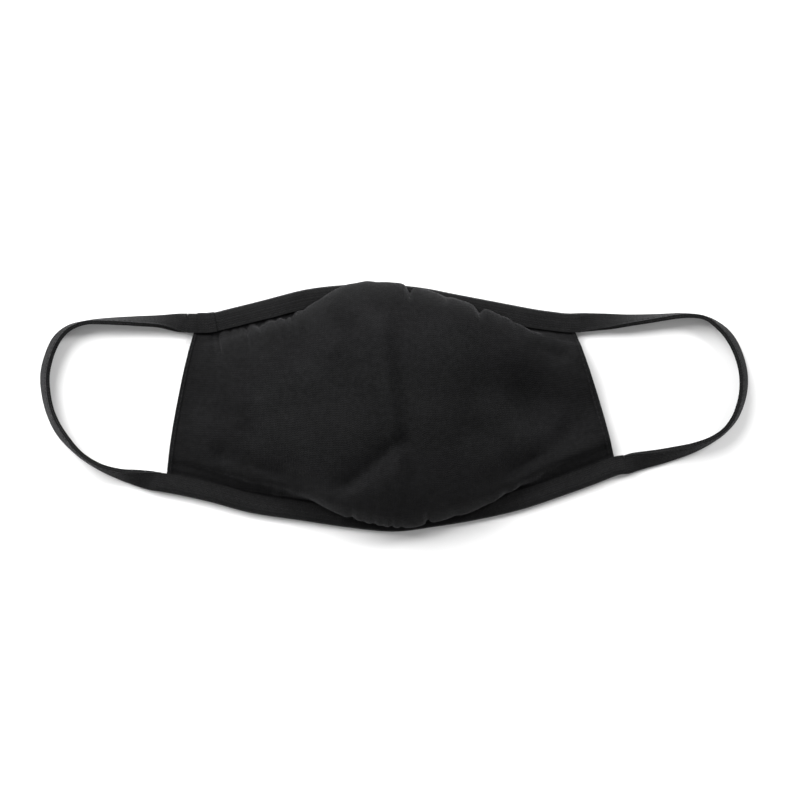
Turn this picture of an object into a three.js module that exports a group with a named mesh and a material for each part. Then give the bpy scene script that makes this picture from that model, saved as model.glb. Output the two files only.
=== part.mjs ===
// A black cloth face mask, lying on its inner side with the cup upwards.
// Millimetres. X runs from ear to ear, +Y towards the nose edge, +Z up. The origin is on the
// surface that the mask lies on, under the middle of its outline.
//
// One folded tape goes all the way round: it clasps the nose edge of the panel, runs on as one ear
// loop, clasps the chin edge and runs back as the other. It is cut here at the panel's corners.

import * as THREE from 'three';
import { LoftGeometry } from 'three/addons/geometries/LoftGeometry.js';

// ---- driving dimensions ----

const PANEL_WALL = 1.6; // two plies of jersey
const TAPE_LEAF = 1.0; // one leaf of the folded tape
const TAPE_WIDTH = 9.6;
const TAPE_ROUND = 0.9; // how far back the tape's folded edge is rounded
const CLEARANCE = 0.3; // between pieces that touch on the real mask
const SLOT = PANEL_WALL + 2 * CLEARANCE; // between the two leaves
const TAPE_HEIGHT = 2 * TAPE_LEAF + SLOT;

const RIM_HEIGHT = TAPE_LEAF + SLOT / 2; // of the panel's middle surface, inside the tape
const RIM_START = TAPE_LEAF + CLEARANCE + 0.2; // in from the tape's outer edge
const RIM_END = TAPE_WIDTH + 0.7; // where the panel has left the tape
const SIDE_BOW = 2.0; // how far each side hem bows outwards
const STRAP_END = 3.6; // thickness of the tape by itself, where it leaves the clasp
const STRAP_GAP = 0.4; // between the ends of a clasp and a strap, which are one tape on the real mask

const STEPS_ACROSS = 3; // panel columns to a row of the table
const STEPS_UP = 2; // panel rows to a point of a section
const STEPS_ALONG_TAPE = 3; // tape sections to a row of its table

// Rows of numbers under their column names.
function table(names, ...rows) {
  return rows.map((row) => Object.fromEntries(names.map((name, i) => [name, row[i]])));
}

// The panel, a row for each section from the left hem to the right one.
//   noseX, chinX        where the section meets the two tapes
//   nose, chin          the outer edges of the tapes, in Y
//   noseRim, chinRim    how far the swell of the cloth stays inside that edge
//   noseLift, chinLift  the height of that swell
//   crown               the height of the cup
const SECTIONS = table(
  ['noseX', 'nose', 'noseRim', 'noseLift', 'chinX', 'chin', 'chinRim', 'chinLift', 'crown'],
  [-96.8, 46.5,   15,  4.0, -114.0, -43.0,  15,  3.8,  8],
  [  -91, 46.8,   15,  4.6,   -105, -44.7,  15,  4.2, 10],
  [  -81, 49.2,   14,  5.5,    -91, -47.9,  15,  5.0, 14],
  [  -65, 53.2,   13,  7.0,    -71, -53.2,  15,  6.5, 20],
  [  -44, 58.5,   10,  9.0,    -46, -57.0,  13,  8.5, 27],
  [  -24, 60.8,  1.5, 10.5,    -23, -60.4, 6.0, 10.0, 32],
  [   -6, 61.1, -0.2, 11.0,      0, -62.5, 2.8, 10.5, 34],
  [   13, 59.5,  1.2, 10.5,     21, -60.0, 3.2, 10.0, 33],
  [   32, 55.9,  3.0,  9.5,     42, -56.5, 6.0,  9.0, 28],
  [   52, 52.1,  7.0,  7.5,     64, -51.4,  12,  7.0, 20],
  [   70, 48.7,   13,  5.5,     86, -44.0,  15,  5.0, 13],
  [   80, 47.3,   14,  4.8,    100, -38.9,  15,  4.5, 11],
  [ 86.2, 46.6,   15,  4.2,  111.4, -34.5,  15,  4.2, 10],
);

// Dents and ridges of the cup: a soft trough along a line, or a ridge where the depth is negative.
const FOLDS = table(
  ['name', 'x', 'y', 'toX', 'toY', 'width', 'depth'],
  ['right hollow'    ,  62,   8,  94,  -1, 14,    7],
  ['right chin fold' ,  45, -42,  84, -16,  7,  4.5],
  ['left chin crease', -84, -24, -40, -42,  7,  3.5],
  ['left hollow'     , -96,   2, -72, -10, 10,    3],
  ['middle ridge'    ,  -9,  50,   3, -42,  5, -1.5],
  ['chin dent'       ,   2, -18, -30, -46,  6,    2],
  ['nose dent'       ,  73,  31,  83,  26,  5,  1.5],
);

// Where the tapes that clasp the panel end, a little past its corners, at their outer edges.
const CLASP_ENDS = {
  noseLeft: { x: -102.8, y: 46.5 },
  noseRight: { x: 92.8, y: 46.7 },
  chinLeft: { x: -117.8, y: -42.4 },
  chinRight: { x: 115.2, y: -33.8 },
};

// The tape's own course where it leaves the panel, with its width, thickness and the turn, in
// degrees, that lifts its inner edge off the surface.
const LEFT_LOOP = table(
  ['x', 'y', 'width', 'thick', 'turn'],
  [  -115,  42.6, 8.4, 2.2, 45],
  [  -130,  42.8, 8.4, 2.0, 65],
  [  -145,  42.6, 8.6, 2.0, 79],
  [  -154,  41.8, 8.8, 2.0, 86],
  [  -162,  39.2, 9.0, 2.0, 77],
  [-167.9,  34.0, 9.2, 2.0, 67],
  [-171.7,  26.4, 9.4, 2.0, 65],
  [-174.1,  16.4, 9.6, 2.0, 64],
  [-173.6,   6.2, 9.6, 2.0, 66],
  [-171.0,    -4, 9.6, 2.0, 68],
  [-165.8, -13.8, 9.6, 2.0, 68],
  [-156.8, -23.6, 9.6, 2.0, 78],
  [  -147, -30.0, 9.6, 2.0, 77],
  [  -137, -33.8, 9.6, 2.0, 63],
  [  -129, -35.6, 9.6, 2.2, 42],
  [  -123, -36.8, 9.6, 2.6, 20],
);

const RIGHT_LOOP = table(
  ['x', 'y', 'width', 'thick', 'turn'],
  [  120, -27.9, 9.6, 2.6, 16],
  [  126, -26.6, 9.6, 2.2, 34],
  [  134, -24.9, 9.6, 2.0, 46],
  [  142, -22.9, 9.6, 2.0, 57],
  [  150, -20.4, 9.6, 2.0, 68],
  [  158, -16.8, 9.6, 2.0, 78],
  [  165, -11.9, 9.6, 2.0, 80],
  [170.5,  -4.6, 9.6, 2.0, 75],
  [173.9,   5.5, 9.4, 2.0, 70],
  [174.4,  15.5, 9.2, 2.0, 67],
  [172.1,  25.5, 9.0, 2.0, 66],
  [167.9,  34.0, 8.8, 2.0, 66],
  [162.3,  39.9, 8.8, 2.0, 73],
  [154.5,  44.4, 8.8, 2.0, 86],
  [  144,  45.4, 8.8, 2.0, 84],
  [  130,  44.2, 8.8, 2.0, 72],
  [  115,  43.0, 8.8, 2.0, 52],
  [  102,  42.4, 8.8, 2.6, 20],
);

// ---- curves through a table ----

// The value at t of 0 to 1 between b and c, on a smooth curve that a and d lie on too.
function smooth(a, b, c, d, t) {
  const start = (c - a) / 2;
  const end = (d - b) / 2;
  const bend = 3 * (c - b) - 2 * start - end;
  const twist = start + end - 2 * (c - b);
  return b + t * (start + t * (bend + t * twist));
}

// A table with steps rows for each of its own, every column on a smooth curve.
function refine(rows, steps) {
  const row = (i) => rows[Math.min(Math.max(i, 0), rows.length - 1)];
  const fine = [];
  for (let i = 0; i < rows.length - 1; i++) {
    for (let step = 0; step < steps; step++) {
      const between = {};
      for (const name of Object.keys(rows[0])) {
        const values = [row(i - 1), row(i), row(i + 1), row(i + 2)].map((r) => r[name]);
        between[name] = smooth(...values, step / steps);
      }
      fine.push(between);
    }
  }
  fine.push(rows[rows.length - 1]);
  return fine;
}

// ---- the panel ----

// One half of a section, from the tape to just short of the middle, as distance in from the
// tape's outer edge and height. The cloth leaves the tape flat, stands up, swells back out over
// the tape by as much as the rim allows, and rises to the crown.
function halfSection(rim, lift, crown, reach) {
  const climb = crown - lift;
  const point = (inwards, height) => new THREE.Vector2(inwards, height);
  return [
    point(RIM_END, RIM_HEIGHT),
    point(RIM_END + 0.8, RIM_HEIGHT + 0.1),
    point(RIM_END + 2.2, RIM_HEIGHT + 0.45 * (lift - RIM_HEIGHT)),
    point(rim, lift),
    point(rim + 0.1 * (reach - rim), lift + 0.44 * climb),
    point(rim + 0.38 * (reach - rim), lift + 0.8 * climb),
    point(rim + 0.7 * (reach - rim), lift + 0.96 * climb),
  ];
}

// The middle surface of the cloth at one section, from the chin edge to the nose edge.
function sectionCurve(row) {
  const reach = (row.nose - row.chin) / 2;
  const middle = (row.nose + row.chin) / 2;
  const chinHalf = halfSection(row.chinRim, row.chinLift, row.crown, reach);
  const noseHalf = halfSection(row.noseRim, row.noseLift, row.crown, reach);
  const through = [
    ...chinHalf.map((p) => new THREE.Vector3(0, row.chin + p.x, p.y)),
    new THREE.Vector3(0, middle, row.crown),
    ...noseHalf.reverse().map((p) => new THREE.Vector3(0, row.nose - p.x, p.y)),
  ];
  const curve = new THREE.CatmullRomCurve3(through, false, 'centripetal');
  return [
    new THREE.Vector3(0, row.chin + RIM_START, RIM_HEIGHT),
    ...curve.getPoints((through.length - 1) * STEPS_UP),
    new THREE.Vector3(0, row.nose - RIM_START, RIM_HEIGHT),
  ];
}

// How far the folds lower the cloth at a place. They fade out towards the tapes.
function foldDepth(x, y, row) {
  const place = new THREE.Vector3(x, y, 0);
  const nearest = new THREE.Vector3();
  const edge = Math.min(row.nose - y, y - row.chin);
  const fade = THREE.MathUtils.smoothstep(edge, RIM_END + 3, RIM_END + 16);
  const flat = THREE.MathUtils.smoothstep(row.crown, 0, 16);
  let depth = 0;
  for (const fold of FOLDS) {
    const start = new THREE.Vector3(fold.x, fold.y, 0);
    const end = new THREE.Vector3(fold.toX, fold.toY, 0);
    new THREE.Line3(start, end).closestPointToPoint(place, true, nearest);
    depth += fold.depth * Math.exp(-((nearest.distanceTo(place) / fold.width) ** 2));
  }
  return depth * fade * flat;
}

// The cloth's middle surface as rows of points, a row for each section.
function panelSurface() {
  const rows = refine(SECTIONS, STEPS_ACROSS);
  return rows.map((row, i) => {
    const side = (2 * i) / (rows.length - 1) - 1;
    return sectionCurve(row).map((point) => {
      const up = (point.y - row.chin) / (row.nose - row.chin);
      const bow = SIDE_BOW * side ** 3 * 4 * up * (1 - up);
      const x = THREE.MathUtils.lerp(row.chinX, row.noseX, up) + bow;
      return new THREE.Vector3(x, point.y, point.z - foldDepth(x, point.y, row));
    });
  });
}

// The outward direction of a surface of rows at one of its points.
function outward(surface, i, j) {
  const last = surface.length - 1;
  const top = surface[0].length - 1;
  const across = surface[Math.min(i + 1, last)][j].clone().sub(surface[Math.max(i - 1, 0)][j]);
  const up = surface[i][Math.min(j + 1, top)].clone().sub(surface[i][Math.max(j - 1, 0)]);
  return across.cross(up).normalize();
}

// A shell of even thickness around the middle surface, open underneath.
function panelGeometry() {
  const surface = panelSurface();
  const rings = surface.map((section, i) => {
    const face = (side) => section.map((point, j) =>
      point.clone().addScaledVector(outward(surface, i, j), (side * PANEL_WALL) / 2));
    return [...face(1).reverse(), ...face(-1)];
  });
  return new LoftGeometry(rings, { capStart: true, capEnd: true });
}

// ---- the tape ----

// The tape's direction in plan at one row of its course, seen from above.
function heading(course, i) {
  const before = course[Math.max(i - 1, 0)];
  const after = course[Math.min(i + 1, course.length - 1)];
  return new THREE.Vector2(after.x - before.x, after.y - before.y).normalize();
}

// A place on from the end of a course, or back from its start: forwards is 1 or -1.
function straightOn(course, forwards, distance, inwards = 0) {
  const i = forwards > 0 ? course.length - 1 : 0;
  const along = heading(course, i);
  const run = forwards * distance;
  return {
    x: course[i].x + along.x * run - along.y * inwards,
    y: course[i].y + along.y * run + along.x * inwards,
  };
}

// A solid swept along a course that runs anticlockwise round the mask. profile(row) gives each
// section's points as distance towards the inside of the mask, and height.
function sweep(course, profile) {
  const rings = course.map((row, i) => {
    const along = heading(course, i);
    return profile(row).map(([inwards, height]) =>
      new THREE.Vector3(row.x - along.y * inwards, row.y + along.x * inwards, height));
  });
  return new LoftGeometry(rings, { capStart: true, capEnd: true });
}

// Two leaves joined at the outer edge, with the panel's edge between them.
function claspProfile() {
  const [under, over] = [TAPE_LEAF, TAPE_LEAF + SLOT];
  return [
    [TAPE_ROUND, 0], [TAPE_WIDTH, 0], [TAPE_WIDTH, under], [TAPE_LEAF, under],
    [TAPE_LEAF, over], [TAPE_WIDTH, over], [TAPE_WIDTH, TAPE_HEIGHT], [TAPE_ROUND, TAPE_HEIGHT],
    [0, TAPE_HEIGHT - TAPE_ROUND], [0, TAPE_ROUND],
  ];
}

// The folded tape by itself: flat with rounded edges, turned so that its outer edge stays down.
function strapProfile(row) {
  const turn = THREE.MathUtils.degToRad(Math.max(row.turn, 0));
  const round = row.thick / 2;
  const flat = row.width / 2 - round;
  const centre = flat * Math.sin(turn) + round;
  const points = [];
  for (const side of [1, -1]) {
    for (const angle of [-90, -30, 30, 90]) {
      const a = THREE.MathUtils.degToRad(angle);
      const across = side * (flat + round * Math.cos(a));
      const up = side * round * Math.sin(a);
      const inwards = across * Math.cos(turn) - up * Math.sin(turn);
      points.push([inwards, centre + across * Math.sin(turn) + up * Math.cos(turn)]);
    }
  }
  return points;
}

// The middle of an ear loop's tape, from the end of one clasp to the start of the next. Each end
// lies in line with its clasp, for a short way.
function strapCourse(loop, from, to) {
  const end = (clasp, forwards, distance, like) => ({
    ...like,
    ...straightOn(clasp, forwards, distance, like.width / 2),
    thick: STRAP_END,
    turn: 0,
  });
  const [first, last] = [loop[0], loop[loop.length - 1]];
  const course = [
    end(from, 1, STRAP_GAP, first),
    end(from, 1, STRAP_GAP + STRAP_END, first),
    ...loop,
    end(to, -1, STRAP_GAP + STRAP_END, last),
    end(to, -1, STRAP_GAP, last),
  ];
  return refine(course, STEPS_ALONG_TAPE);
}

// ---- the assembly ----

const jersey = { color: 0x1b1b1c, roughness: 0.92, metalness: 0 };
const knitTape = { color: 0x202021, roughness: 0.88, metalness: 0 };

const { noseLeft, noseRight, chinLeft, chinRight } = CLASP_ENDS;
const noseEdge = SECTIONS.map((row) => ({ x: row.noseX, y: row.nose })).reverse();
const chinEdge = SECTIONS.map((row) => ({ x: row.chinX, y: row.chin }));
const noseClasp = refine([noseRight, ...noseEdge, noseLeft], STEPS_ALONG_TAPE);
const chinClasp = refine([chinLeft, ...chinEdge, chinRight], STEPS_ALONG_TAPE);
const leftStrap = strapCourse(LEFT_LOOP, noseClasp, chinClasp);
const rightStrap = strapCourse(RIGHT_LOOP, chinClasp, noseClasp);

const pieces = [
  { name: 'mask_panel', geometry: panelGeometry(), finish: jersey },
  { name: 'top_binding', geometry: sweep(noseClasp, claspProfile), finish: knitTape },
  { name: 'left_ear_loop', geometry: sweep(leftStrap, strapProfile), finish: knitTape },
  { name: 'bottom_binding', geometry: sweep(chinClasp, claspProfile), finish: knitTape },
  { name: 'right_ear_loop', geometry: sweep(rightStrap, strapProfile), finish: knitTape },
];

const mask = new THREE.Group();
for (const { name, geometry, finish } of pieces) {
  const mesh = new THREE.Mesh(geometry, new THREE.MeshStandardMaterial(finish));
  mesh.name = name;
  mask.add(mesh);
}

export default mask;
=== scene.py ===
"""A black cloth face mask, laid on its inner side with the cup upwards.

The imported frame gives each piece's body. Sizes are in millimetres until a point is placed, which
turns it into metres. The floor and the lamps are in metres. X runs from ear to ear, +Y towards the
nose edge and +Z up.
"""

import math

import bmesh
import bpy
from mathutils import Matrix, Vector, noise


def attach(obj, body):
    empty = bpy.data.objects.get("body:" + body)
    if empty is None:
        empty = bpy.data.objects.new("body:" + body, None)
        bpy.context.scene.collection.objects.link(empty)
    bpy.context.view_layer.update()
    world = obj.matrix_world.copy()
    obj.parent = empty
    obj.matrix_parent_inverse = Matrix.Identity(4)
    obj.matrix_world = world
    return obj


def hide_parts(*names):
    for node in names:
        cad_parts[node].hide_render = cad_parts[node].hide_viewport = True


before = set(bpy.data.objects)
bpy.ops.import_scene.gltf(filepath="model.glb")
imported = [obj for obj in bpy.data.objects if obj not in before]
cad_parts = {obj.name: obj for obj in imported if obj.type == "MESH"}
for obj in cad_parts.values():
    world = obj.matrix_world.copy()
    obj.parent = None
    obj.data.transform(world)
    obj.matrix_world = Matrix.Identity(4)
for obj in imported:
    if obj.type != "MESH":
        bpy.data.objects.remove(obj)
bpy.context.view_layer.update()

MM = 0.001

# ---- driving dimensions ----

PANEL_WALL = 1.2
TAPE_LEAF = 0.9
TAPE_WIDTH = 9.6
TAPE_HEIGHT = 4.2
RIM_HEIGHT = 2.1
RIM_START = 1.6
RIM_END = 10.0
SIDE_BOW = 2.0
HEM_WIDTH = 5.2
HEM_LEAF = 0.55
LOWEST_CLOTH = 1.5  # of its middle surface, above the floor

PANEL_COLUMNS = 216
PANEL_ROWS = 152
TAPE_STEP = 0.8
STITCH_PITCH = 2.6
STITCH_LENGTH = 1.9
STITCH_WIDTH = 0.34
STITCHES_BEGIN = 4.0  # from each end of a tape

CUT_WIDTH = 226  # of the panel, from hem to hem
HEM_CUT_STEP = 0.6
TAPE_CUT_WIDTH = 21

# Rows of stitches, as shares of the clasp's width and of half the strap's.
EDGE_ROW = 0.86
MIDDLE_ROW = 0.48
STRAP_ROW = 0.7
STRAP_ROW_SINKS = 0.1
EDGE_ROW_SINKS = 0.22
STITCH_PROUD = 0.02

# Where one end of the tape laps over the other, and how far it stands off it.
JOIN_LEFT = -98.4
JOIN_RIGHT = -89.8
JOIN_INWARDS = 0.25
JOIN_OUTWARDS = 0.35
JOIN_UP = 0.55


def table(names, *rows):
    """Rows of numbers under their column names."""
    return [dict(zip(names.split(), row)) for row in rows]


# The panel, a row for each section from the left hem to the right one: where it meets the two
# tapes, their outer edges, how far the swell of the cloth stays inside them, the height of the
# swell and the height of the cup.
SECTIONS = table(
    "noseX nose noseRim noseLift chinX chin chinRim chinLift crown",
    (-96.8, 46.5, 15, 4.0, -114.0, -43.0, 15, 3.8, 8),
    (-91, 46.8, 15, 4.6, -105, -44.7, 15, 4.2, 10),
    (-81, 49.2, 14, 5.5, -91, -47.9, 15, 5.0, 14),
    (-65, 53.2, 13, 7.0, -71, -53.2, 15, 6.5, 20),
    (-44, 58.5, 10, 9.0, -46, -57.0, 13, 8.5, 27),
    (-24, 60.8, 1.5, 10.5, -23, -60.4, 6.0, 10.0, 32),
    (-6, 61.1, -0.2, 11.0, 0, -62.5, 2.8, 10.5, 34),
    (13, 59.5, 1.2, 10.5, 21, -60.0, 3.2, 10.0, 33),
    (32, 55.9, 3.0, 9.5, 42, -56.5, 6.0, 9.0, 28),
    (52, 52.1, 7.0, 7.5, 64, -51.4, 12, 7.0, 20),
    (70, 48.7, 13, 5.5, 86, -44.0, 15, 5.0, 13),
    (80, 47.3, 14, 4.8, 100, -38.9, 15, 4.5, 11),
    (86.2, 46.6, 15, 4.2, 111.4, -34.5, 15, 4.2, 10),
)

# Dents and ridges of the cup: a soft trough along a line, or a ridge where the depth is negative.
FOLDS = table(
    "x y toX toY width depth",
    (62, 8, 94, -1, 14, 8.2),
    (42, 8, 64, 2, 9, 2.4),
    (60, -5, 92, -12, 9, 3.4),
    (40, -12, 56, -20, 8, 1.8),
    (45, -42, 84, -16, 7, 4.5),
    (50, -44, 68, -26, 3.5, 1.8),
    (76, -20, 84, -4, 5, -1.2),
    (-84, -24, -40, -42, 7, 3.5),
    (-72, -14, -56, -30, 8, 2.2),
    (-96, 2, -72, -10, 10, 3),
    (-7, 56, 4, -50, 2.6, -1.5),
    (-9, 52, 3, -44, 7, -0.8),
    (0, 50, 10, -34, 3.4, 1.0),
    (-24, 52, -17, 22, 6, 2.1),
    (3, -17, -32, -47, 4.5, 2.8),
    (-12, -24, -24, -36, 8, 1.6),
    (-7, -44, -2, -34, 5, -1.2),
    (73, 31, 83, 26, 4, 2.0),
    (66, 36, 75, 30, 3, -0.8),
    (78, 34, 90, 24, 3, -0.6),
    (42, 50, 54, 38, 2.6, -1.3),
    (49, 51, 60, 39, 3.0, 2.2),
    (-47, 53, -31, 28, 4, -1.7),
    (-56, 46, -44, 24, 4, 1.4),
    (-84, 33, -75, 3, 4, -1.3),
    (-77, 36, -68, 8, 4, 1.2),
    (-93, 30, -88, 8, 4, 0.9),
    (-58, 20, -50, -10, 9, 0.8),
)

# Short gathers that run in from a binding, some of them evenly spaced by the needle.
GATHERS = table(
    "edge start stop spacing length width depth",
    ("nose", -92, -45, 4.6, 12.0, 1.4, 1.9),
    ("nose", 54, 84, 6.5, 6.0, 1.8, 0.4),
    ("chin", -66, -46, 5.2, 6.0, 1.6, 0.4),
    ("chin", 56, 72, 5.4, 7.0, 1.6, 0.5),
)

# Where the swelling rim of the cup is nipped in by the seam, and how far back it goes there.
NIPS = table(
    "edge x width back",
    ("nose", 7.5, 1.9, 5.2),
    ("nose", 26, 2.4, 0.8),
    ("nose", 41.5, 2.0, 3.6),
    ("chin", -20.5, 1.5, 1.3),
    ("chin", -15.0, 1.2, 0.7),
    ("chin", -9.5, 1.3, 1.2),
    ("chin", -5.0, 1.1, 0.6),
    ("chin", -1.0, 1.2, 1.2),
    ("chin", 4.0, 1.3, 1.0),
    ("chin", 17, 1.5, 2.6),
    ("chin", 31, 2.2, 0.7),
)

CLASP_ENDS = {
    "noseLeft": (-102.8, 46.5),
    "noseRight": (92.8, 46.7),
    "chinLeft": (-117.8, -42.4),
    "chinRight": (115.2, -33.8),
}

# The tape's own course where it leaves the panel, with the turn in degrees that lifts its inner
# edge.
LEFT_LOOP = table(
    "x y width thick turn",
    (-115, 42.6, 8.4, 2.2, 45),
    (-130, 42.8, 8.4, 2.0, 65),
    (-145, 42.6, 8.6, 2.0, 79),
    (-154, 41.8, 8.8, 2.0, 86),
    (-162, 39.2, 9.0, 2.0, 77),
    (-167.9, 34.0, 9.2, 2.0, 67),
    (-171.7, 26.4, 9.4, 2.0, 65),
    (-174.1, 16.4, 9.6, 2.0, 64),
    (-173.6, 6.2, 9.6, 2.0, 66),
    (-171.0, -4, 9.6, 2.0, 68),
    (-165.8, -13.8, 9.6, 2.0, 68),
    (-156.8, -23.6, 9.6, 2.0, 78),
    (-147, -30.0, 9.6, 2.0, 77),
    (-137, -33.8, 9.6, 2.0, 63),
    (-129, -35.6, 9.6, 2.2, 42),
    (-123, -36.8, 9.6, 2.6, 20),
)

RIGHT_LOOP = table(
    "x y width thick turn",
    (120, -27.9, 9.6, 2.6, 16),
    (126, -26.6, 9.6, 2.2, 34),
    (134, -24.9, 9.6, 2.0, 46),
    (142, -22.9, 9.6, 2.0, 57),
    (150, -20.4, 9.6, 2.0, 68),
    (158, -16.8, 9.6, 2.0, 78),
    (165, -11.9, 9.6, 2.0, 80),
    (170.5, -4.6, 9.6, 2.0, 75),
    (173.9, 5.5, 9.4, 2.0, 70),
    (174.4, 15.5, 9.2, 2.0, 67),
    (172.1, 25.5, 9.0, 2.0, 66),
    (167.9, 34.0, 8.8, 2.0, 66),
    (162.3, 39.9, 8.8, 2.0, 73),
    (154.5, 44.4, 8.8, 2.0, 86),
    (144, 45.4, 8.8, 2.0, 84),
    (130, 44.2, 8.8, 2.0, 72),
    (115, 43.0, 8.8, 2.0, 52),
    (102, 42.4, 8.8, 2.6, 20),
)


# ---- curves through a table ----


def smooth(a, b, c, d, t):
    """The value at t of 0 to 1 between b and c, on a smooth curve that a and d lie on too."""
    start = (c - a) / 2
    end = (d - b) / 2
    bend = 3 * (c - b) - 2 * start - end
    twist = start + end - 2 * (c - b)
    return b + t * (start + t * (bend + t * twist))


def row_at(rows, place):
    """A row of the table at a place of 0 to 1 along it, every column on a smooth curve."""
    last = len(rows) - 1
    along = min(max(place, 0), 1) * last
    i = min(int(along), last - 1)
    near = [rows[min(max(k, 0), last)] for k in (i - 1, i, i + 1, i + 2)]
    return {name: smooth(*[row[name] for row in near], along - i) for name in rows[0]}


def refine(rows, steps):
    """The table with steps rows for each of its own."""
    count = (len(rows) - 1) * steps
    return [row_at(rows, k / count) for k in range(count + 1)]


def spline(points, steps):
    """A centripetal curve through points of two numbers."""
    first = points[0] * 2 - points[1]
    last = points[-1] * 2 - points[-2]
    through = [first, *points, last]
    curve = []
    for i in range(len(points) - 1):
        a, b, c, d = through[i : i + 4]
        ta = 0.0
        tb = ta + math.sqrt((b - a).length)
        tc = tb + math.sqrt((c - b).length)
        td = tc + math.sqrt((d - c).length)
        for k in range(steps):
            t = tb + (tc - tb) * k / steps
            ab = a.lerp(b, (t - ta) / (tb - ta))
            bc = b.lerp(c, (t - tb) / (tc - tb))
            cd = c.lerp(d, (t - tc) / (td - tc))
            abc = ab.lerp(bc, (t - ta) / (tc - ta))
            bcd = bc.lerp(cd, (t - tb) / (td - tb))
            curve.append(abc.lerp(bcd, (t - tb) / (tc - tb)))
    curve.append(points[-1])
    return curve


def evenly(points, count):
    """Count + 1 points at even distances along a line of points, and its length."""
    reached = [0.0]
    for a, b in zip(points, points[1:]):
        reached.append(reached[-1] + (b - a).length)
    even = []
    i = 0
    for k in range(count + 1):
        goal = reached[-1] * k / count
        while i < len(points) - 2 and reached[i + 1] < goal:
            i += 1
        step = reached[i + 1] - reached[i]
        even.append(points[i].lerp(points[i + 1], (goal - reached[i]) / step))
    return even, reached[-1]


def smoothstep(value, low, high):
    t = min(max((value - low) / (high - low), 0), 1)
    return t * t * (3 - 2 * t)


# ---- the cloth's surface ----


# The cup above its rim: shares of the way in to the middle and up to the crown, and how much of the
# seam's draw it takes.
CUP_OUTLINE = table(
    "inwards up drawn",
    (0.1, 0.44, 0.3),
    (0.38, 0.8, 0.0),
    (0.7, 0.96, 0.0),
)


def half_section(rim, back, lift, crown, reach):
    """From the tape to just short of the middle, as distance in from its edge and height. The
    seam draws the rim of the swell back, but not the cup above it."""
    climb = crown - lift
    start = [
        Vector((RIM_END, RIM_HEIGHT)),
        Vector((RIM_END + 0.8, RIM_HEIGHT + 0.1)),
        Vector((RIM_END + 2.2, RIM_HEIGHT + 0.45 * (lift - RIM_HEIGHT))),
        Vector((rim + back, lift)),
    ]
    cup = []
    for row in CUP_OUTLINE:
        inwards = rim + row["drawn"] * back + row["inwards"] * (reach - rim)
        cup.append(Vector((inwards, lift + row["up"] * climb)))
    return start + cup


def nip(edge, x):
    """How far the rim of the cup is drawn back at a place along an edge."""
    drawn = [row["back"] * math.exp(-(((x - row["x"]) / row["width"]) ** 2))
             for row in NIPS if row["edge"] == edge]
    ripple = 0.35 * noise.noise(Vector((x * 0.19, 3.0 if edge == "nose" else 9.0, 0)))
    return sum(drawn) + ripple


def section_points(row):
    """The cloth's middle surface at one section, from the chin edge to the nose edge."""
    reach = (row["nose"] - row["chin"]) / 2
    middle = (row["nose"] + row["chin"]) / 2
    chin_back = nip("chin", row["chinX"])
    nose_back = nip("nose", row["noseX"])
    crown = row["crown"]
    chin_half = half_section(row["chinRim"], chin_back, row["chinLift"], crown, reach)
    nose_half = half_section(row["noseRim"], nose_back, row["noseLift"], crown, reach)
    through = [Vector((row["chin"] + p.x, p.y)) for p in chin_half]
    through.append(Vector((middle, crown)))
    through += [Vector((row["nose"] - p.x, p.y)) for p in reversed(nose_half)]
    inside_chin = Vector((row["chin"] + RIM_START, RIM_HEIGHT))
    inside_nose = Vector((row["nose"] - RIM_START, RIM_HEIGHT))
    return [inside_chin, *spline(through, 10), inside_nose]


def from_line(x, y, fold):
    """How far a place is from the line of a fold."""
    start = Vector((fold["x"], fold["y"]))
    along = Vector((fold["toX"], fold["toY"])) - start
    place = Vector((x, y)) - start
    t = min(max(place.dot(along) / along.length_squared, 0), 1)
    return (place - along * t).length


def fold_depth(x, y, row):
    """How far the folds lower the cloth at a place. They fade out towards the tapes."""
    edge = min(row["nose"] - y, y - row["chin"])
    fade = smoothstep(edge, RIM_END + 2, RIM_END + 14) * smoothstep(row["crown"], 0, 16)
    depths = [f["depth"] * math.exp(-((from_line(x, y, f) / f["width"]) ** 2)) for f in FOLDS]
    return fade * sum(depths)


def gather_depth(x, inwards, edge):
    """How far the short gathers under a binding lower the cloth."""
    depth = 0.0
    for row in GATHERS:
        if row["edge"] != edge or inwards > RIM_END + 2.2 * row["length"]:
            continue
        count = int((row["stop"] - row["start"]) / row["spacing"])
        run = max(inwards - RIM_END, 0) / row["length"]
        for k in range(count + 1):
            own = math.sin(k * 2.4 + row["start"])
            at = row["start"] + row["spacing"] * (k + 0.22 * own) + 0.18 * (inwards - RIM_END)
            across = (x - at) / row["width"]
            if abs(across) < 3:
                strength = row["depth"] * (0.75 + 0.35 * math.sin(k * 1.7))
                depth += strength * math.exp(-across * across - run * run)
    return depth


def crumple(x, y):
    """The soft unevenness of cloth that has been worn and laid down."""
    broad = noise.noise(Vector((x * 0.035, y * 0.028, 2.0)))
    middle = noise.noise(Vector((x * 0.085 + y * 0.03, y * 0.06, 5.0)))
    fine = noise.noise(Vector((x * 0.22, y * 0.17, 8.0)))
    return 0.75 * broad + 0.32 * middle + 0.09 * fine


def cloth_surface():
    """The cloth's middle surface, columns from the left hem to the right, with its cut size."""
    columns = []
    lengths = []
    for i in range(PANEL_COLUMNS + 1):
        place = i / PANEL_COLUMNS
        row = row_at(SECTIONS, place)
        side = 2 * place - 1
        section, length = evenly(section_points(row), PANEL_ROWS)
        lengths.append(length)
        column = []
        for y, z in section:
            up = (y - row["chin"]) / (row["nose"] - row["chin"])
            bow = SIDE_BOW * side**3 * 4 * up * (1 - up)
            x = row["chinX"] + (row["noseX"] - row["chinX"]) * up + bow
            column.append(Vector((x, y, z - fold_depth(x, y, row))))
        columns.append(column)
    return columns, lengths


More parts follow.
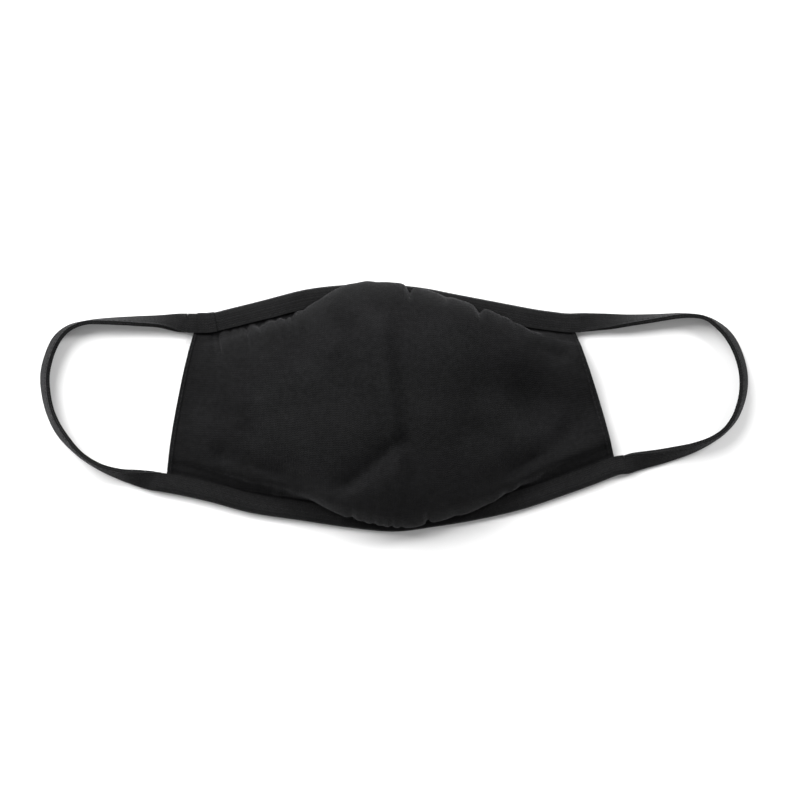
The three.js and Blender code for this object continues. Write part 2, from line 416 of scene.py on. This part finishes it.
def outward(columns, i, j):
    """The outward direction of the surface at one of its points."""
    right = columns[min(i + 1, len(columns) - 1)][j]
    left = columns[max(i - 1, 0)][j]
    above = columns[i][min(j + 1, len(columns[i]) - 1)]
    below = columns[i][max(j - 1, 0)]
    return (right - left).cross(above - below).normalized()


def detailed(columns):
    """The surface with its gathers and crumples."""
    fine = []
    for i, column in enumerate(columns):
        row = row_at(SECTIONS, i / PANEL_COLUMNS)
        moved = []
        for j, point in enumerate(column):
            from_nose = row["nose"] - point.y
            from_chin = point.y - row["chin"]
            inside = min(from_nose, from_chin)
            free = smoothstep(inside, RIM_END - 4, RIM_END + 10)
            over = smoothstep(point.z, 5, 12)
            sides = min(i, PANEL_COLUMNS - i) / PANEL_COLUMNS
            calm = 0.35 + 0.65 * smoothstep(sides, 0, 0.08)
            lift = crumple(point.x, point.y) * max(free, over) * calm
            if inside > RIM_END - 3:
                lift -= gather_depth(point.x, from_nose, "nose")
                lift -= gather_depth(point.x, from_chin, "chin")
            lift = max(lift, LOWEST_CLOTH - point.z)
            moved.append(point + outward(columns, i, j) * lift)
        fine.append(moved)
    return fine


# ---- meshes ----


def grid_sheet(columns, flat):
    """A sheet over columns of points in millimetres. flat(i, j) is its place in the cut cloth."""
    across = len(columns) - 1
    up = len(columns[0]) - 1
    bm = bmesh.new()
    layer = bm.loops.layers.uv.new("Cut")
    bmesh.ops.create_grid(bm, x_segments=across, y_segments=up, size=0.5)
    bm.verts.index_update()
    for face in bm.faces:
        for loop in face.loops:
            j, i = divmod(loop.vert.index, across + 1)
            loop[layer].uv = flat(i, j)
    for vert in bm.verts:
        j, i = divmod(vert.index, across + 1)
        vert.co = columns[i][j] * MM
    return bm


def finished(name, bm, material, wall=0.0):
    """A smooth piece of the mesh, with a wall of its own thickness."""
    for face in bm.faces:
        face.smooth = True
    mesh = bpy.data.meshes.new(name)
    bm.to_mesh(mesh)
    bm.free()
    piece = bpy.data.objects.new(name, mesh)
    bpy.context.scene.collection.objects.link(piece)
    mesh.materials.append(material)
    if wall:
        solid = piece.modifiers.new("wall", "SOLIDIFY")
        solid.thickness = wall * MM
        solid.offset = 0.0
        solid.use_even_offset = False
        solid.use_rim = True
        graph = bpy.context.evaluated_depsgraph_get()
        piece.data = bpy.data.meshes.new_from_object(piece.evaluated_get(graph))
        piece.modifiers.clear()
        piece.data.set_sharp_from_angle(angle=math.radians(55))
    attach(piece, "root")
    return piece


def stitched(name, places, material):
    """A row of stitches as one piece. Each place is a point, a direction and a normal."""
    bm = bmesh.new()
    layer = bm.loops.layers.uv.new("Cut")
    for point, along, normal in places:
        side = normal.cross(along).normalized()
        turned = along.normalized().to_track_quat("X", "Z").to_matrix()
        turned.col[0] = along.normalized()
        turned.col[1] = side
        turned.col[2] = normal
        size = (STITCH_LENGTH / 2, STITCH_WIDTH / 2, STITCH_WIDTH / 2)
        made = bmesh.ops.create_uvsphere(bm, u_segments=8, v_segments=5, radius=1.0)
        for vert in made["verts"]:
            # the poles lie at the ends of the stitch
            ball = Vector((vert.co.z * size[0], vert.co.x * size[1], vert.co.y * size[2]))
            vert.co = (point + turned @ ball) * MM
            for loop in vert.link_loops:
                loop[layer].uv = (ball.y * MM, ball.x * MM)
    bmesh.ops.recalc_face_normals(bm, faces=bm.faces)
    return finished(name, bm, material)


# ---- shader groups ----


class Graph:
    """A node tree with short calls to add nodes and join them."""

    def __init__(self, tree):
        self.tree = tree

    def node(self, kind, **settings):
        made = self.tree.nodes.new(kind)
        for name, value in settings.items():
            setattr(made, name, value)
        return made

    def join(self, source, target):
        self.tree.links.new(source, target)

    def put(self, socket, value):
        if isinstance(value, bpy.types.NodeSocket):
            self.join(value, socket)
        else:
            socket.default_value = value

    def grain(self, place, scale, detail=2.0, roughness=0.5):
        """Noise of 0 to 1 at a place."""
        made = self.node("ShaderNodeTexNoise")
        self.join(place, made.inputs["Vector"])
        made.inputs["Scale"].default_value = scale
        made.inputs["Detail"].default_value = detail
        made.inputs["Roughness"].default_value = roughness
        return made.outputs["Fac"]

    def remap(self, value, source, target, **settings):
        """The value moved from one range to another."""
        made = self.node("ShaderNodeMapRange", **settings)
        self.join(value, made.inputs["Value"])
        for name, number in zip(("From Min", "From Max", "To Min", "To Max"), (*source, *target)):
            made.inputs[name].default_value = number
        return made.outputs["Result"]

    def math(self, operation, a, b=0.0, c=0.0):
        made = self.node("ShaderNodeMath", operation=operation)
        for socket, value in zip(made.inputs, (a, b, c)):
            self.put(socket, value)
        return made.outputs[0]


def new_group(name, inputs, outputs):
    """An empty node group with float, colour and vector sockets."""
    group = bpy.data.node_groups.new(name, "ShaderNodeTree")
    kinds = {"f": "NodeSocketFloat", "c": "NodeSocketColor", "v": "NodeSocketVector"}
    for socket, kind, value in inputs:
        made = group.interface.new_socket(socket, in_out="INPUT", socket_type=kinds[kind])
        if value is not None:
            made.default_value = value
    for socket, kind in outputs:
        group.interface.new_socket(socket, in_out="OUTPUT", socket_type=kinds[kind])
    graph = Graph(group)
    return group, graph, graph.node("NodeGroupInput"), graph.node("NodeGroupOutput")


def knit_group():
    """Rows of small V stitches over the cut cloth: a height, and a painted shade that colours the
    stitches' low parts darker.
    """
    group, g, into, out = new_group(
        "Knit stitches",
        [("Vector", "v", None), ("Across", "f", 900.0), ("Along", "f", 900.0)],
        [("Height", "f"), ("Shade", "f")],
    )
    place = g.node("ShaderNodeSeparateXYZ")
    g.join(into.outputs["Vector"], place.inputs[0])
    wobble = g.grain(into.outputs["Vector"], 260.0)
    drift = g.math("MULTIPLY", g.math("SUBTRACT", wobble, 0.5), 0.9)
    wale = g.math("ADD", g.math("MULTIPLY", place.outputs["X"], into.outputs["Across"]), drift)
    leg = g.math("PINGPONG", wale, 0.5)
    course = g.math("MULTIPLY", place.outputs["Y"], into.outputs["Along"])
    slanted = g.math("ADD", g.math("ADD", course, g.math("MULTIPLY", leg, 0.9)), drift)
    bead = g.math("COSINE", g.math("MULTIPLY", slanted, 2 * math.pi))
    rib = g.math("SINE", g.math("MULTIPLY", leg, 2 * math.pi))
    height = g.math("MULTIPLY_ADD", bead, 0.32, g.math("MULTIPLY", rib, 0.6))
    g.join(height, out.inputs["Height"])
    # painted shade: the colour is darker where the stitch is low and lighter where it is high
    g.join(g.math("MULTIPLY_ADD", height, 0.16, 0.92), out.inputs["Shade"])
    return group


def lint_group():
    """Broad uneven dye and fine pale lint: a shade, a lint mask and a height."""
    group, g, into, out = new_group(
        "Dye and lint",
        [("Vector", "v", None), ("Unevenness", "f", 0.2), ("Lint", "f", 0.5)],
        [("Shade", "f"), ("Lint", "f"), ("Height", "f")],
    )
    broad = g.grain(into.outputs["Vector"], 38.0, 4.0)
    patches = g.grain(into.outputs["Vector"], 420.0, 3.0)
    uneven = g.math("SUBTRACT", g.math("ADD", broad, patches), 1.0)
    shade = g.math("MULTIPLY_ADD", uneven, into.outputs["Unevenness"], 1.0)
    fuzz = g.grain(into.outputs["Vector"], 1400.0, 3.0, 0.7)
    specks = g.remap(fuzz, (0.62, 0.8), (0.0, 1.0))
    g.join(shade, out.inputs["Shade"])
    g.join(g.math("MULTIPLY", specks, into.outputs["Lint"]), out.inputs["Lint"])
    g.join(fuzz, out.inputs["Height"])
    return group


def cloth_material(name, knit, lint, colour, lint_colour, across, along, settings):
    """Black knit cloth: stitches with painted shade in their low parts on the cut cloth, uneven dye
    and lint on the piece's place.
    """
    material = bpy.data.materials.new(name)
    material.use_nodes = True
    g = Graph(material.node_tree)
    shader = material.node_tree.nodes["Principled BSDF"]
    where = g.node("ShaderNodeTexCoord")
    stitches = g.node("ShaderNodeGroup", node_tree=knit)
    g.join(where.outputs["UV"], stitches.inputs["Vector"])
    stitches.inputs["Across"].default_value = across
    stitches.inputs["Along"].default_value = along
    dye = g.node("ShaderNodeGroup", node_tree=lint)
    g.join(where.outputs["Object"], dye.inputs["Vector"])
    dye.inputs["Unevenness"].default_value = settings["unevenness"]
    dye.inputs["Lint"].default_value = settings["lint"]
    # the colour is scaled by the stitches' painted shade and by the random uneven dye
    shade = g.math("MULTIPLY", stitches.outputs["Shade"], dye.outputs["Shade"])
    toned = g.node("ShaderNodeVectorMath", operation="SCALE")
    toned.inputs[0].default_value = colour
    g.join(shade, toned.inputs["Scale"])
    mixed = g.node("ShaderNodeMix", data_type="RGBA")
    g.join(dye.outputs["Lint"], mixed.inputs["Factor"])
    g.join(toned.outputs[0], mixed.inputs["A"])
    mixed.inputs["B"].default_value = (*lint_colour, 1)
    g.join(mixed.outputs["Result"], shader.inputs["Base Color"])
    rough = g.math("MULTIPLY_ADD", stitches.outputs["Height"], -0.05, settings["roughness"])
    g.join(rough, shader.inputs["Roughness"])
    fuzz = g.math("MULTIPLY", dye.outputs["Height"], settings["fuzz"])
    bump = g.node("ShaderNodeBump")
    bump.inputs["Strength"].default_value = settings["strength"]
    bump.inputs["Distance"].default_value = settings["relief"]
    g.join(g.math("ADD", stitches.outputs["Height"], fuzz), bump.inputs["Height"])
    g.join(bump.outputs["Normal"], shader.inputs["Normal"])
    shader.inputs["Specular IOR Level"].default_value = settings["specular"]
    shader.inputs["Sheen Weight"].default_value = settings["sheen"]
    shader.inputs["Sheen Roughness"].default_value = settings["sheen_roughness"]
    shader.inputs["Sheen Tint"].default_value = (*settings["sheen_tint"], 1)
    return material


KNIT = knit_group()
LINT = lint_group()

JERSEY = cloth_material(
    "black jersey", KNIT, LINT, (0.0064, 0.0064, 0.0067), (0.03, 0.03, 0.031), 820, 900,
    dict(unevenness=1.1, lint=0.5, roughness=0.92, fuzz=0.7, strength=0.65, relief=0.0003,
         specular=0.08, sheen=0.12, sheen_roughness=0.32, sheen_tint=(0.85, 0.85, 0.88)))
TAPE = cloth_material(
    "black knit tape", KNIT, LINT, (0.0082, 0.0082, 0.0085), (0.034, 0.034, 0.035), 700, 1100,
    dict(unevenness=0.8, lint=0.4, roughness=0.88, fuzz=0.5, strength=0.8, relief=0.0003,
         specular=0.1, sheen=0.13, sheen_roughness=0.32, sheen_tint=(0.85, 0.85, 0.88)))
THREAD = cloth_material(
    "black thread", KNIT, LINT, (0.012, 0.012, 0.0124), (0.03, 0.03, 0.03), 400, 2600,
    dict(unevenness=0.3, lint=0.15, roughness=0.7, fuzz=0.2, strength=0.3, relief=0.0001,
         specular=0.12, sheen=0.05, sheen_roughness=0.3, sheen_tint=(0.9, 0.9, 0.9)))


# ---- the panel and its hems ----


def panel_cut(lengths):
    """A function that gives each point's place in the cut cloth, in metres."""
    width = CUT_WIDTH * MM
    deep = max(lengths) * MM

    def flat(i, j):
        tall = lengths[i] * MM
        return (width * i / PANEL_COLUMNS, (deep - tall) / 2 + tall * j / PANEL_ROWS)

    return flat


def hem_columns(columns, left):
    """A folded hem round the panel's side edge: over it, round it and back underneath."""
    reach = HEM_WIDTH / (CUT_WIDTH / PANEL_COLUMNS)
    above = [(k / 8, 1.0) for k in range(8, -1, -1)]
    around = [(-0.12 * math.sin(math.radians(a)), math.cos(math.radians(a)))
              for a in range(20, 180, 20)]
    below = [(k / 8, -1.0) for k in range(0, 9)]
    hem = []
    for inwards, face in above + around + below:
        column = []
        for j in range(PANEL_ROWS + 1):
            at = max(inwards, 0) * reach
            i = min(int(at), PANEL_COLUMNS - 1)
            a = i if left else PANEL_COLUMNS - i
            b = i + 1 if left else PANEL_COLUMNS - i - 1
            point = columns[a][j].lerp(columns[b][j], at - i)
            normal = outward(columns, a, j)
            edge = columns[0 if left else -1][j]
            inner = columns[1 if left else -2][j]
            out = (edge - inner).normalized() * (-min(inwards, 0) * 2.5)
            tuck = 0.28 if inwards > 0.93 else 0.0
            pucker = 0.06 * math.sin(j * 1.3) * smoothstep(inwards, 0.4, 0.8)
            proud = PANEL_WALL / 2 + HEM_LEAF / 2 - tuck + pucker
            column.append(point + out + normal * face * proud)
        hem.append(column)
    if not left:
        hem.reverse()
    return hem


def surface_place(columns, i, j, height):
    """A point over the surface, its direction up the column and its normal."""
    a = int(i)
    point = columns[a][j].lerp(columns[min(a + 1, len(columns) - 1)][j], i - a)
    along = columns[a][min(j + 1, PANEL_ROWS)] - columns[a][max(j - 1, 0)]
    normal = outward(columns, a, j)
    return point + normal * height, along.normalized(), normal


def hem_stitches(columns, lengths, left):
    """Evenly spaced stitches up a hem, a little inside its folded edge."""
    inset = (HEM_WIDTH - 1.3) / (CUT_WIDTH / PANEL_COLUMNS)
    i = inset if left else PANEL_COLUMNS - inset
    length = lengths[0 if left else -1]
    count = int((length - 2 * RIM_END) / STITCH_PITCH)
    places = []
    for k in range(count):
        reached = RIM_END + (k + 0.5) * STITCH_PITCH
        j = round(reached / length * PANEL_ROWS)
        places.append(surface_place(columns, i, j, PANEL_WALL / 2 + HEM_LEAF + STITCH_PROUD))
    return places


# ---- the tape ----


def walk(rows):
    """The course at even steps: points in plan, headings, and the row's own values."""
    fine = refine(rows, 12)
    points = [Vector((row["x"], row["y"])) for row in fine]
    total = sum((b - a).length for a, b in zip(points, points[1:]))
    count = int(total / TAPE_STEP)
    even = []
    reached = 0.0
    i = 0
    for k in range(count + 1):
        goal = total * k / count
        while i < len(points) - 2 and reached + (points[i + 1] - points[i]).length < goal:
            reached += (points[i + 1] - points[i]).length
            i += 1
        part = min((goal - reached) / (points[i + 1] - points[i]).length, 1)
        even.append({name: fine[i][name] * (1 - part) + fine[i + 1][name] * part
                     for name in fine[i]})
    for k, row in enumerate(even):
        before = even[max(k - 1, 0)]
        after = even[min(k + 1, len(even) - 1)]
        row["heading"] = Vector((after["x"] - before["x"], after["y"] - before["y"])).normalized()
        row["reached"] = total * k / count
    return even, total


def on_course(row, inwards, height):
    """A point at a distance towards the inside of the mask, at a height."""
    along = row["heading"]
    return Vector((row["x"] - along.y * inwards, row["y"] + along.x * inwards, height))


def clasp_line(row):
    """The middle of the folded tape round the panel's edge, from its lower leaf to its upper."""
    half = TAPE_LEAF / 2
    top = TAPE_HEIGHT - half
    radius = (top - half) / 2
    wave = 0.22 * noise.noise(Vector((row["reached"] * 0.12, row["seed"], 0)))
    pucker = 0.10 * math.sin(2 * math.pi * row["reached"] / STITCH_PITCH)
    inner = TAPE_WIDTH - 0.1 + wave
    under = [(inner, half), (inner * 0.75, half), (inner * 0.5, half), (inner * 0.25 + 0.6, half)]
    bend = [(half + radius * 0.62 * (1 - math.sin(math.radians(a))),
             half + radius * (1 - math.cos(math.radians(a)))) for a in range(15, 180, 15)]
    over = [(inner * 0.25 + 0.6, top), (inner * 0.42, top + 0.03), (inner * 0.58, top + 0.02),
            (inner * 0.7, top - 0.04), (inner * 0.8, top - 0.12 - pucker * 0.5),
            (inner * 0.86, top - 0.24 - pucker), (inner * 0.92, top - 0.17 - pucker * 0.4),
            (inner * 0.97, top - 0.16), (inner, top - 0.22)]
    return under + bend + over


def strap_line(row):
    """The folded tape by itself, with both leaves together and its outer edge down."""
    turn = math.radians(max(row["turn"], 0))
    half = row["width"] / 2
    gap = row["thick"] / 2 - TAPE_LEAF / 2
    centre = (half - row["thick"] / 2) * math.sin(turn) + row["thick"] / 2
    wave = 0.15 * noise.noise(Vector((row["reached"] * 0.12, row["seed"], 0)))
    pucker = 0.07 * math.sin(2 * math.pi * row["reached"] / STITCH_PITCH)
    ends = half - 0.12 + wave
    flat = half - gap - TAPE_LEAF / 2
    lower = [(ends * k / 6, -gap) for k in range(6, -4, -1)]
    bend = [(-flat - gap * math.sin(math.radians(a)), -gap * math.cos(math.radians(a)))
            for a in range(15, 180, 15)]
    upper = []
    for k in range(-4, 7):
        near = math.exp(-(((k - 4.2) / 0.9) ** 2))
        upper.append((ends * k / 6, gap - (0.12 + pucker) * near))
    line = []
    for across, up in lower + bend + upper:
        inwards = across * math.cos(turn) - up * math.sin(turn)
        line.append((inwards, centre + across * math.sin(turn) + up * math.cos(turn)))
    return line


def tape_piece(name, course, profile):
    """A folded tape along its course, as one sheet with the thickness of a leaf."""
    columns = [[on_course(row, *point) for point in profile(row)] for row in course]
    across = len(columns[0]) - 1
    width = TAPE_CUT_WIDTH * MM

    def flat(i, j):
        return (course[i]["reached"] * MM, width * j / across)

    return finished(name, grid_sheet(columns, flat), TAPE, TAPE_LEAF)


def tape_stitches(course, inwards, height):
    """Stitches along a tape at a place on its section, given for each row."""
    last = course[-1]["reached"]
    places = []
    k = 0
    while STITCHES_BEGIN + (k + 0.5) * STITCH_PITCH < last - STITCHES_BEGIN:
        goal = STITCHES_BEGIN + (k + 0.5) * STITCH_PITCH
        i = min(range(len(course)), key=lambda n: abs(course[n]["reached"] - goal))
        row = course[i]
        a = on_course(course[max(i - 1, 0)], inwards(row), height(row))
        b = on_course(course[min(i + 1, len(course) - 1)], inwards(row), height(row))
        turn = math.radians(max(row["turn"], 0))
        lean = on_course(row, -math.sin(turn), math.cos(turn)) - on_course(row, 0, 0)
        places.append((on_course(row, inwards(row), height(row)), (b - a).normalized(), lean))
        k += 1
    return places


def strap_row_place(across, up):
    """Where a row of stitches runs on a strap: a share of its half width, and above its middle."""

    def inwards(row):
        turn = math.radians(max(row["turn"], 0))
        return across * row["width"] / 2 * math.cos(turn) - (row["thick"] / 2 + up) * math.sin(turn)

    def height(row):
        turn = math.radians(max(row["turn"], 0))
        centre = (row["width"] - row["thick"]) / 2 * math.sin(turn) + row["thick"] / 2
        lift = across * row["width"] / 2 * math.sin(turn)
        return centre + lift + (row["thick"] / 2 + up) * math.cos(turn)

    return inwards, height


def clasp_course(rows, seed):
    plain = [{"x": x, "y": y, "turn": 0.0, "seed": seed} for x, y in rows]
    return walk(plain)[0]


def strap_course(loop, start, stop, seed):
    """A loop's course from the end of one clasp to the start of the next."""

    def on_end(row, forwards, distance, thick):
        along = row["heading"]
        place = on_course({**row, "x": row["x"] + along.x * forwards * distance,
                           "y": row["y"] + along.y * forwards * distance}, TAPE_WIDTH / 2, 0)
        return {"x": place.x, "y": place.y, "width": TAPE_WIDTH, "thick": thick, "turn": 0.0}

    first, last = start[-1], stop[0]
    rows = [
        on_end(first, 1, 0.02, TAPE_HEIGHT),
        on_end(first, 1, 1.5, TAPE_HEIGHT - 0.1),
        *loop,
        on_end(last, -1, 1.5, TAPE_HEIGHT - 0.1),
        on_end(last, -1, 0.02, TAPE_HEIGHT),
    ]
    return walk([{**row, "seed": seed} for row in rows])[0]


# ---- the room ----

VIEW_WIDTH = 396.5
VIEW_MIDDLE = (1.25, 5.0)
FLOOR_HALF = 1.2  # metres, as the next one
FLOOR_FADES = 0.4
FLOOR_DROP = 0.3  # millimetres below the mask


def look_down():
    """A camera straight above, far enough away for the mask to look flat."""
    data = bpy.data.cameras.new("camera")
    data.lens = 150
    data.sensor_width = 36
    camera = bpy.data.objects.new("camera", data)
    x, y = VIEW_MIDDLE
    camera.location = (x * MM, y * MM, VIEW_WIDTH * MM * data.lens / data.sensor_width)
    bpy.context.scene.collection.objects.link(camera)
    bpy.context.scene.camera = camera


def soft_light():
    """White surroundings, a wide window at the upper left and a small lamp at the upper right."""
    world = bpy.data.worlds.new("white room")
    bpy.context.scene.world = world
    world.use_nodes = True
    g = Graph(world.node_tree)
    room = world.node_tree.nodes["Background"]
    room.inputs["Strength"].default_value = 0.42
    seen = g.node("ShaderNodeBackground")
    seen.inputs["Strength"].default_value = 0.97
    for background in (room, seen):
        background.inputs["Color"].default_value = (1, 1, 1, 1)
    choose = g.node("ShaderNodeMixShader")
    g.join(g.node("ShaderNodeLightPath").outputs["Is Camera Ray"], choose.inputs["Fac"])
    g.join(room.outputs[0], choose.inputs[1])
    g.join(seen.outputs[0], choose.inputs[2])
    g.join(choose.outputs[0], world.node_tree.nodes["World Output"].inputs["Surface"])
    lamp("wide window", place=(-0.95, 1.0, 0.95), size=1.6, watts=59)
    lamp("side lamp", place=(1.2, 0.9, 1.2), size=0.5, watts=20)


def lamp(name, place, size, watts):
    """A round soft lamp that points at the mask."""
    data = bpy.data.lights.new(name, "AREA")
    data.shape = "DISK"
    data.size = size
    data.energy = watts
    made = bpy.data.objects.new(name, data)
    made.location = place
    made.rotation_euler = (-made.location).to_track_quat("-Z", "Y").to_euler()
    bpy.context.scene.collection.objects.link(made)


def floor_material():
    """A pale surface that grows clearer away from the middle."""
    material = bpy.data.materials.new("pale floor")
    material.use_nodes = True
    g = Graph(material.node_tree)
    shader = material.node_tree.nodes["Principled BSDF"]
    where = g.node("ShaderNodeTexCoord")
    grain = g.grain(where.outputs["Object"], 8.0)
    g.join(g.remap(grain, (0.0, 1.0), (0.895, 0.905)), shader.inputs["Base Color"])
    away = g.node("ShaderNodeVectorMath", operation="LENGTH")
    g.join(where.outputs["Object"], away.inputs[0])
    fade = g.remap(away.outputs["Value"], (FLOOR_FADES, FLOOR_HALF), (1.0, 0.0),
                   interpolation_type="SMOOTHSTEP")
    g.join(fade, shader.inputs["Alpha"])
    shader.inputs["Roughness"].default_value = 0.9
    shader.inputs["Specular IOR Level"].default_value = 0.0
    return material


def pale_floor():
    """A floor that fades into the white surroundings well away from the mask."""
    bm = bmesh.new()
    bmesh.ops.create_grid(bm, x_segments=1, y_segments=1, size=FLOOR_HALF)
    bmesh.ops.translate(bm, verts=bm.verts, vec=(0, 0, -FLOOR_DROP * MM))
    mesh = bpy.data.meshes.new("floor")
    bm.to_mesh(mesh)
    bm.free()
    mesh.materials.append(floor_material())
    floor = bpy.data.objects.new("floor", mesh)
    bpy.context.scene.collection.objects.link(floor)


# ---- making the mask ----


def cloth_panel(columns, lengths):
    panel = finished("mask_cloth", grid_sheet(columns, panel_cut(lengths)), JERSEY, PANEL_WALL)
    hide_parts("mask_panel")
    return panel


def side_hem(columns, lengths, side):
    """The folded hem at one side, and its stitches."""
    left = side == "left"
    length = lengths[0 if left else -1]

    def flat(i, j):
        return (i * HEM_CUT_STEP * MM, length * MM * j / PANEL_ROWS)

    hem = finished(f"{side}_hem", grid_sheet(hem_columns(columns, left), flat), JERSEY, HEM_LEAF)
    return [hem, sewn_rows(f"{side}_hem_stitches", hem_stitches(columns, lengths, left))]


def sewn_rows(name, places):
    """Rows of stitches, as one piece."""
    piece = stitched(name, places, THREAD)
    return piece


def clasp_rows(course):
    """Two rows of stitches along a clasp, at its inner edge and near its middle."""
    top = TAPE_HEIGHT + STITCH_PROUD
    edge = tape_stitches(course, lambda row: TAPE_WIDTH * EDGE_ROW,
                         lambda row: top - EDGE_ROW_SINKS)
    return edge + tape_stitches(course, lambda row: TAPE_WIDTH * MIDDLE_ROW, lambda row: top)


def join_line(row):
    """The tape's end that laps over the join, a little outside the clasp all round."""
    middle = TAPE_HEIGHT / 2
    return [(a + (JOIN_INWARDS if a > 1.5 else -JOIN_OUTWARDS) - (0.1 if a > 9 else 0),
             max(b + (JOIN_UP if b > middle else 0.0), TAPE_LEAF / 2))
            for a, b in clasp_line(row)]


def tape_join(nose):
    """Where the tape's two ends meet, one is laid over the other and sewn down."""
    piece = tape_piece(
        "tape_join", [row for row in nose if JOIN_LEFT <= row["x"] <= JOIN_RIGHT], join_line)
    return piece


def tape_courses():
    """The courses of the nose clasp, the chin clasp, the left loop and the right loop."""
    nose_edge = [(row["noseX"], row["nose"]) for row in reversed(SECTIONS)]
    chin_edge = [(row["chinX"], row["chin"]) for row in SECTIONS]
    nose = clasp_course([CLASP_ENDS["noseRight"], *nose_edge, CLASP_ENDS["noseLeft"]], 1.5)
    chin = clasp_course([CLASP_ENDS["chinLeft"], *chin_edge, CLASP_ENDS["chinRight"]], 4.5)
    left = strap_course(LEFT_LOOP, nose, chin, 7.5)
    right = strap_course(RIGHT_LOOP, chin, nose, 11.5)
    return nose, chin, left, right


def tapes_and_stitches():
    """The tape in its four stretches, then its stitches, then its join."""
    nose, chin, left, right = tape_courses()
    trims = []
    for name, node, course, profile in (
        ("top_tape", "top_binding", nose, clasp_line),
        ("bottom_tape", "bottom_binding", chin, clasp_line),
        ("left_loop_tape", "left_ear_loop", left, strap_line),
        ("right_loop_tape", "right_ear_loop", right, strap_line),
    ):
        piece = tape_piece(name, course, profile)
        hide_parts(node)
        trims.append(piece)
    for name, course in (("top_tape_stitches", nose), ("bottom_tape_stitches", chin)):
        trims.append(sewn_rows(name, clasp_rows(course)))
    for name, course in (("left_loop_stitches", left), ("right_loop_stitches", right)):
        row = strap_row_place(STRAP_ROW, -STRAP_ROW_SINKS)
        trims.append(sewn_rows(name, tape_stitches(course, *row)))
    return [*trims, tape_join(nose)]


def make_mask():
    base, lengths = cloth_surface()
    columns = detailed(base)
    panel = cloth_panel(columns, lengths)
    trims = side_hem(columns, lengths, "left") + side_hem(columns, lengths, "right")
    trims += tapes_and_stitches()


look_down()
make_mask()
pale_floor()
soft_light()
bpy.context.scene.view_settings.view_transform = "Standard"
